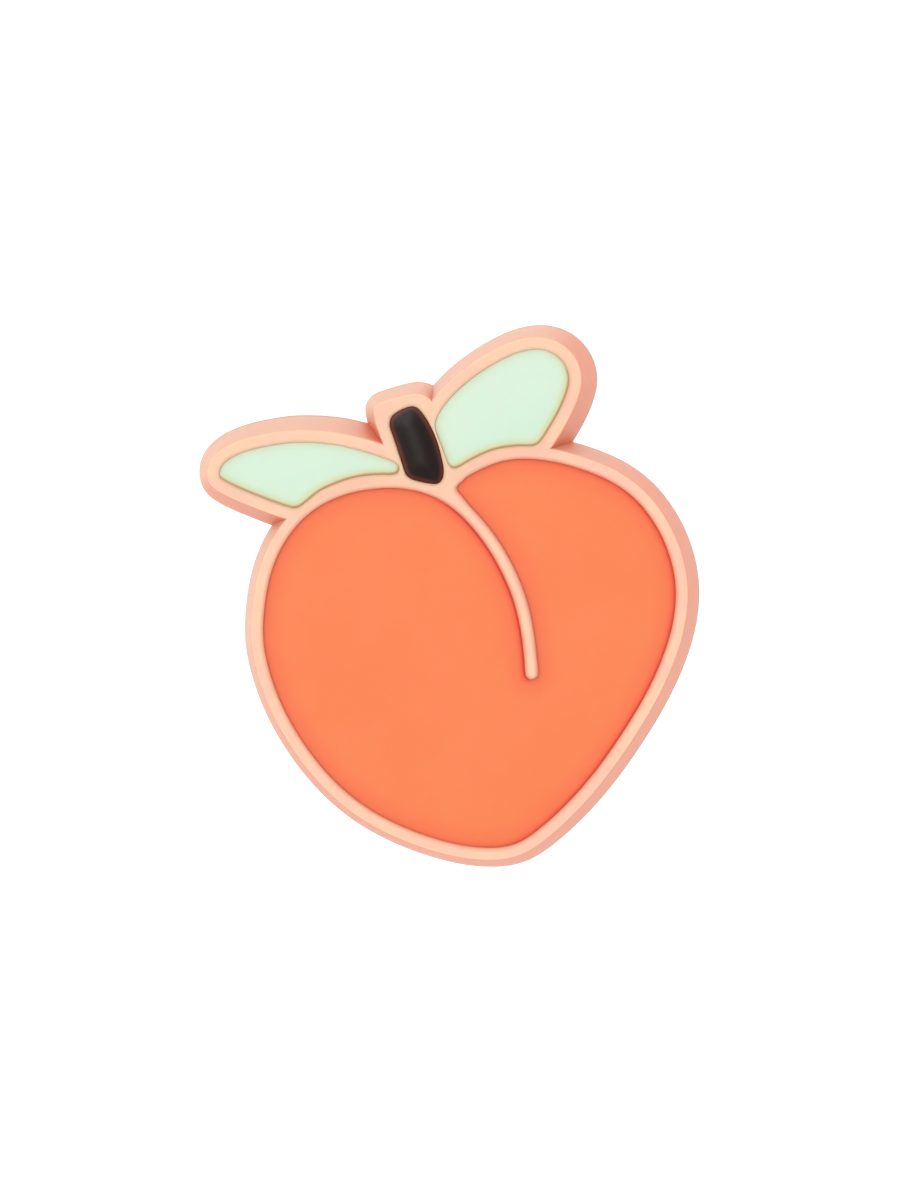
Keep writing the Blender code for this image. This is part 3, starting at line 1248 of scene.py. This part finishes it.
@dataclass
class Pour:
    """One colour poured into its pocket.

    The crown is how far the middle swells above the edge, and crown_reach how far from the edge
    it takes.  The ripple is the slight unevenness of the poured surface.  The lattice is the
    mesh of the top.  The painted seam shade is deepest where the edge faces shade_way, away from
    the light.
    """

    name: str
    node: str
    slot: str
    finish: PouredPvc
    edge: float
    crown: float
    crown_reach: float
    lattice: float
    shade_way: Point
    shade_span: Point = (-0.6, 0.8)
    least_shade: float = 0.0
    open_shade: float = 0.0
    evening: int = 0
    ripple: float = 0.012
    ripple_size: float = 3.0
    spread: float = 0.149
    edge_margin: float = 0.02
    base_chamfer: float = 0.1
    arc_steps: int = 7
    ridge_margin: float = 0.1
    sharp_turn: float = 40.0

    def grid_lines(self, low: Vector, high: Vector) -> Iterable[tuple[Vector, Vector]]:
        """Cutting planes, a lattice apart, over a flat box.

        Args:
            low: The box's lowest corner, in millimetres.
            high: Its highest corner.

        Yields:
            A place on each plane, and the plane's normal.
        """
        for axis in (0, 1):
            normal = Vector((float(axis == 0), float(axis == 1), 0.0))
            count = int((high[axis] - low[axis]) / self.lattice)
            for step in range(1, count + 1):
                yield normal * (low[axis] + step * self.lattice), normal

    def build(self, outline: Outline) -> bpy.types.Object:
        """Makes the pour.

        Args:
            outline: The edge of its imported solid.

        Returns:
            The finished piece.
        """
        low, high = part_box(self.node)
        low, high = low / MM, high / MM
        top = high.z
        section = rounded(
            [
                (self.spread - self.edge - self.edge_margin, top, 0.0),
                (self.spread, top, self.edge),
                (self.spread, low.z + self.base_chamfer, 0.0),
                (self.spread - self.base_chamfer, low.z, 0.0),
            ],
            self.arc_steps,
        )
        piece = outline.swept(self.name, section)

        def is_top(face: bmesh.types.BMFace) -> bool:
            """Whether a face belongs to the flat top."""
            return face.normal.z > LEVEL and face.calc_center_median().z > (top - SKIN) * MM

        open_mesh(piece)
        select_faces(piece, is_top)
        bpy.ops.mesh.dissolve_faces()
        select_faces(piece, is_top)
        bpy.ops.mesh.hide(unselected=True)
        for place, normal in self.grid_lines(low, high):
            bpy.ops.mesh.select_all(action="SELECT")
            bpy.ops.mesh.bisect(plane_co=place * MM, plane_no=normal, threshold=1e-8)
        bpy.ops.mesh.reveal(select=False)
        close_mesh()
        self.swell(piece, outline, top)
        settle_shading(piece, self.sharp_turn)
        enrol(piece, self.slot, self.node, self.finish)
        return piece

    def swell(self, piece: bpy.types.Object, outline: Outline, top: float) -> None:
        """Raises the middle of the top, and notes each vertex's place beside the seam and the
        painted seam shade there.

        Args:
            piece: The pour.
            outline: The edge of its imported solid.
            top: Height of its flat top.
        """
        measure = nearest_on(outline.grown(self.spread))
        shade_at = self.seam_shade_levels(outline)
        depths, seam_shading, crown = [], [], []
        inset = self.edge + self.edge_margin
        for vertex in piece.data.vertices:
            place = vertex.co.xy / MM
            depth, nearest = measure(place)
            depths.append(depth)
            seam_shading.append(shade_at[nearest])
            if vertex.co.z > (top - SKIN) * MM:
                inner = max(0.0, depth - inset)
                rise = 1 - math.exp(-((inner / self.crown_reach) ** 2))
                wave = noise.noise(Vector((place.x, place.y, 0.0)) / self.ripple_size)
                vertex.co.z += (self.crown + self.ripple * wave) * rise * MM
                if depth > inset + self.edge_margin / 2:
                    crown.append(vertex.index)
        note(piece, "from_edge", depths)
        note(piece, "painted_seam_shade", seam_shading)
        if self.evening:
            self.even_out(piece, crown)

    def even_out(self, piece: bpy.types.Object, crown: Sequence[int]) -> None:
        """Smooths the ridges that a high crown has along its middle.

        Args:
            piece: The pour.
            crown: The vertices that may move.
        """
        pick(piece)
        group = piece.vertex_groups.new(name="crown")
        group.add(crown, 1.0, "REPLACE")
        smooth = piece.modifiers.new("even_crown", "SMOOTH")
        smooth.iterations = self.evening
        smooth.factor = 0.5
        smooth.vertex_group = group.name
        apply_all(piece)
        piece.vertex_groups.clear()

    def seam_shade_levels(self, outline: Outline) -> list[float]:
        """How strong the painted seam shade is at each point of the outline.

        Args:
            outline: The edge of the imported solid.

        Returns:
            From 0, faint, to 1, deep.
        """
        # Painted shade on the seam: deepest where the edge faces shade_way, away from the light,
        # and by the crease ridge.
        way = Vector(self.shade_way).normalized()
        low, high = self.shade_span
        limit = Plate.ridge_width + self.ridge_margin
        found = []
        for outward, ridge in zip(outline.normals(), outline.across(outline.points, limit)):
            share = min(1.0, max(self.least_shade, (outward.dot(way) - low) / (high - low)))
            found.append(share * (1.0 if ridge < limit else 1.0 - self.open_shade))
        return found


@dataclass
class SnapButton:
    """The button behind the plate: foot, disc, neck and flange.

    The foot has a shallow ring and, in its middle, the pip that the moulding leaves.
    """

    neck_radius: float = 3.7
    neck_fillet: float = 0.4
    disc_thickness: float = 1.7
    disc_edge: float = 0.5
    foot_rounding: float = 1.15
    ring_radius: float = 3.4
    ring_half_width: float = 0.25
    ring_depth: float = 0.3
    ring_edge: float = 0.08
    ring_floor: float = 0.12
    pip_radii: Point = (0.35, 0.55)
    pip_depth: float = 0.12
    pip_edge: float = 0.05
    flange_radius: float = 5.2
    flange_thickness: float = 0.7
    flange_root: float = 0.1
    flange_edges: Point = (0.08, 0.2)
    top_inset: float = 1.0
    arc_steps: int = 5
    sharp_turn: float = 30.0

    def build(self) -> bpy.types.Object:
        """Makes the button.

        Returns:
            The finished piece.
        """
        low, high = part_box("snap_button")
        radius, top = high.x / MM, high.z / MM
        base = top - self.flange_thickness
        neck, disc = self.neck_radius, self.disc_thickness
        inner = self.ring_radius - self.ring_half_width
        outer = self.ring_radius + self.ring_half_width
        section = rounded(
            [
                (self.pip_radii[0], self.pip_depth, 0.0),
                (self.pip_radii[1], 0.0, self.pip_edge),
                (inner, 0.0, self.ring_edge),
                (self.ring_radius, self.ring_depth, self.ring_floor),
                (outer, 0.0, self.ring_edge),
                (radius, 0.0, self.foot_rounding),
                (radius, disc, self.disc_edge),
                (neck, disc, self.neck_fillet),
                (neck, base, self.flange_root),
                (self.flange_radius, base, self.flange_edges[0]),
                (self.flange_radius, top, self.flange_edges[1]),
                (self.flange_radius - self.top_inset, top, 0.0),
            ],
            self.arc_steps,
        )
        button = turned("back_button", section)
        settle_shading(button, self.sharp_turn, flats_lead=True)
        enrol(button, "button_plastic", "snap_button", ButtonPlastic())
        return button


@dataclass
class Studio:
    """Floor, light and camera.

    Turn is how far the charm is turned in the picture, in degrees, and the leans are how far
    the camera stands off the vertical.  Distances and sizes are millimetres.
    """

    turn: float = 12.0
    distance: float = 450.0
    lens: float = 260.0
    sensor: float = 36.0
    lean_right: float = 2.7
    lean_up: float = 1.8
    aim_right: float = -0.39
    aim_up: float = 0.125
    floor_size: float = 1500.0
    floor_gap: float = 0.02
    sky: float = 0.85
    key_power: float = 1.4
    key_size: float = 170.0
    key_distance: float = 600.0
    key_tilt: float = 12.0
    key_aim: float = 9.0

    def directions(self) -> tuple[Vector, Vector]:
        """The picture's directions.

        Returns:
            Its right and its up, in plan.
        """
        turn = math.radians(self.turn)
        return (
            Vector((math.cos(turn), -math.sin(turn), 0.0)),
            Vector((math.sin(turn), math.cos(turn), 0.0)),
        )

    def floor(self) -> bpy.types.Object:
        """Lays the paper that the charm stands on.

        Returns:
            The floor.
        """
        bpy.ops.object.select_all(action="DESELECT")
        bpy.ops.mesh.primitive_plane_add(
            size=self.floor_size * MM, location=(0.0, 0.0, -self.floor_gap * MM)
        )
        floor = bpy.context.object
        floor.name = "paper_floor"
        floor.data.materials.append(PaperFloor().material())
        return floor

    def light(self, name: str, place: Vector, size: Point, power: float) -> bpy.types.Object:
        """Hangs a soft box that faces the charm.

        Args:
            name: The light's name.
            place: Where it hangs, in millimetres.
            size: Its width and height in millimetres.
            power: Its power in watts.

        Returns:
            The light.
        """
        bpy.ops.object.light_add(type="AREA", location=place * MM)
        lamp = bpy.context.object
        lamp.name = lamp.data.name = name
        lamp.data.shape = "RECTANGLE"
        lamp.data.size, lamp.data.size_y = (length * MM for length in size)
        lamp.data.energy = power
        back = place - Vector((0.0, 0.0, self.key_aim))
        lamp.rotation_euler = back.to_track_quat("Z", "Y").to_euler()
        return lamp

    def camera(self) -> bpy.types.Object:
        """Sets up the camera over the charm's face.

        Returns:
            The camera.
        """
        right, up = self.directions()
        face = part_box("rim_plate")[1].z / MM
        aim = Vector((0.0, 0.0, face)) + right * self.aim_right + up * self.aim_up
        back = Vector((0.0, 0.0, 1.0))
        back += right * math.tan(math.radians(self.lean_right))
        back += up * math.tan(math.radians(self.lean_up))
        back.normalize()
        side = up.cross(back).normalized()
        turn = Matrix((side, back.cross(side), back)).transposed()
        bpy.ops.object.camera_add(
            location=(aim + back * self.distance) * MM, rotation=turn.to_euler()
        )
        camera = bpy.context.object
        camera.name = "camera"
        camera.data.lens = self.lens
        camera.data.sensor_width = self.sensor
        camera.data.clip_start = 0.01
        camera.data.dof.use_dof = False
        bpy.context.scene.camera = camera
        return camera

    def build(self) -> None:
        """Makes the whole studio."""
        right, up = self.directions()
        world = bpy.data.worlds.new("studio")
        bpy.context.scene.world = world
        world.use_nodes = True
        sky = world.node_tree.nodes["Background"]
        sky.inputs["Color"].default_value = WHITE
        sky.inputs["Strength"].default_value = self.sky
        self.floor()
        tilt = math.radians(self.key_tilt)
        way = (up - right).normalized() * math.sin(tilt) + Vector((0.0, 0.0, math.cos(tilt)))
        size = (self.key_size, self.key_size)
        self.light("key_box", way * self.key_distance, size, self.key_power)
        self.camera()
        bpy.context.scene.view_settings.view_transform = "Standard"
        bpy.context.scene.view_settings.look = "None"


# ------------------------------------------------------------ colours and pours


# In the orange and mint pours below, the border, halo and seam colours are painted shade along the
# rim.
ORANGE = PouredPvc(
    name="orange_pvc",
    middle=(0.80, 0.20, 0.061),
    cloud=(0.80, 0.19, 0.056),
    shaded_border=(0.80, 0.165, 0.055),
    shaded_border_width=1.4,
    shade_halo=(0.80, 0.08, 0.028),
    shade_halo_width=0.42,
    lit_seam=(0.80, 0.17, 0.075),
    shaded_seam=(0.62, 0.033, 0.012),
    seam_width=0.16,
    roughness=0.5,
)
MINT = PouredPvc(
    name="mint_pvc",
    middle=(0.60, 0.735, 0.60),
    cloud=(0.575, 0.735, 0.59),
    shaded_border=(0.57, 0.70, 0.53),
    shaded_border_width=0.5,
    shade_halo=(0.62, 0.62, 0.34),
    shade_halo_width=0.5,
    lit_seam=(0.70, 0.66, 0.50),
    shaded_seam=(0.54, 0.31, 0.165),
    seam_width=0.16,
    roughness=0.5,
)
BLACK = PouredPvc(
    name="black_pvc",
    middle=(0.013, 0.0075, 0.006),
    cloud=(0.016, 0.009, 0.0075),
    shaded_border=(0.014, 0.007, 0.005),
    shaded_border_width=0.4,
    # Painted reflection: the reddish halo and seam stand for light bounced from the pink rim onto
    # the stem's edge.
    shade_halo=(0.03, 0.008, 0.005),
    shade_halo_width=0.3,
    lit_seam=(0.11, 0.02, 0.012),
    shaded_seam=(0.075, 0.014, 0.008),
    seam_width=0.3,
    roughness=0.28,
    gloss=0.08,
    softness=Softness(weight=0.0),
)
LOW_SHADE_WAY = (0.45, -0.9)


def leaf(side: str) -> Pour:
    """The mint pour of one leaf.

    Args:
        side: Left or right.

    Returns:
        The pour.
    """
    return Pour(
        name=f"{side}_leaf_colour",
        node=f"{side}_leaf_fill",
        slot=MINT.name,
        finish=MINT,
        edge=0.03,
        crown=0.04,
        crown_reach=1.0,
        lattice=0.14,
        shade_way=LOW_SHADE_WAY,
    )


POURS = (
    Pour(
        name="peach_colour",
        node="peach_fill",
        slot=ORANGE.name,
        finish=ORANGE,
        edge=0.03,
        crown=0.06,
        crown_reach=2.0,
        lattice=0.18,
        shade_way=(1.0, -0.2),
        least_shade=0.3,
        open_shade=0.2,
    ),
    leaf("left"),
    leaf("right"),
    Pour(
        name="stem_colour",
        node="stem_fill",
        slot=BLACK.name,
        finish=BLACK,
        edge=0.05,
        crown=0.1,
        crown_reach=0.55,
        lattice=0.08,
        shade_way=LOW_SHADE_WAY,
        evening=30,
    ),
)


def main() -> None:
    """Builds every piece of the charm and its studio."""
    logging.basicConfig(level=logging.INFO, format="%(name)s: %(message)s")
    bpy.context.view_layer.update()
    outlines = {pour.node: Outline.under(pour.node) for pour in POURS}
    seam_shading = {pour.node: pour.seam_shade_levels(outlines[pour.node]) for pour in POURS}
    Plate().build(outlines, seam_shading)
    for pour in POURS:
        pour.build(outlines[pour.node])
    SnapButton().build()
    Studio().build()


if __name__ == "__main__":
    main()
